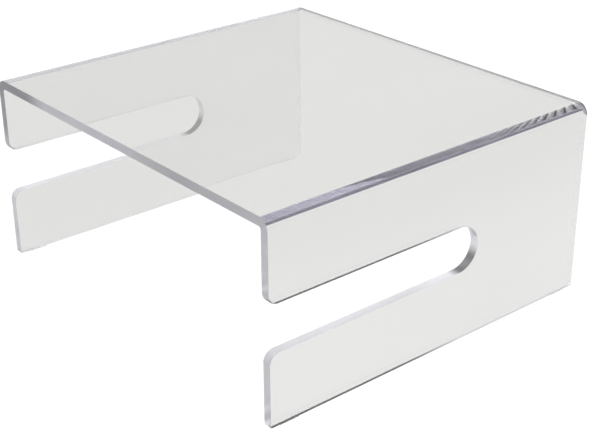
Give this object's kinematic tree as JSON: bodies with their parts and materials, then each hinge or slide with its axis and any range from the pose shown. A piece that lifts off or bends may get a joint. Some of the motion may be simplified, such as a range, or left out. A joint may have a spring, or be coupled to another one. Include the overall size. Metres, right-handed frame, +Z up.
{
  "type": "monitor riser stand",
  "caption": "Clear acrylic monitor riser: one sheet bent down at both sides into legs, each leg slotted from the front so a full-size keyboard can slide in under the shelf",
  "frame": {"origin": "on the desk, midway between the legs and midway between the front and back edges", "axes": "+Z up; -Y is the front, where the keyboard slots open; +X is the right-hand leg"},
  "size_m": [0.31, 0.278, 0.14],
  "materials": {
    "clear_acrylic": "clear cast acrylic, polished faces and flame-polished edges",
    "clear_grip": "clear soft polyurethane, satin"
  },
  "bodies": {
    "root": {"bridge_sheet": "clear_acrylic", "grip_pad_front_left": "clear_grip", "grip_pad_front_right": "clear_grip", "grip_pad_back_left": "clear_grip", "grip_pad_back_right": "clear_grip"}
  },
  "joints": []
}
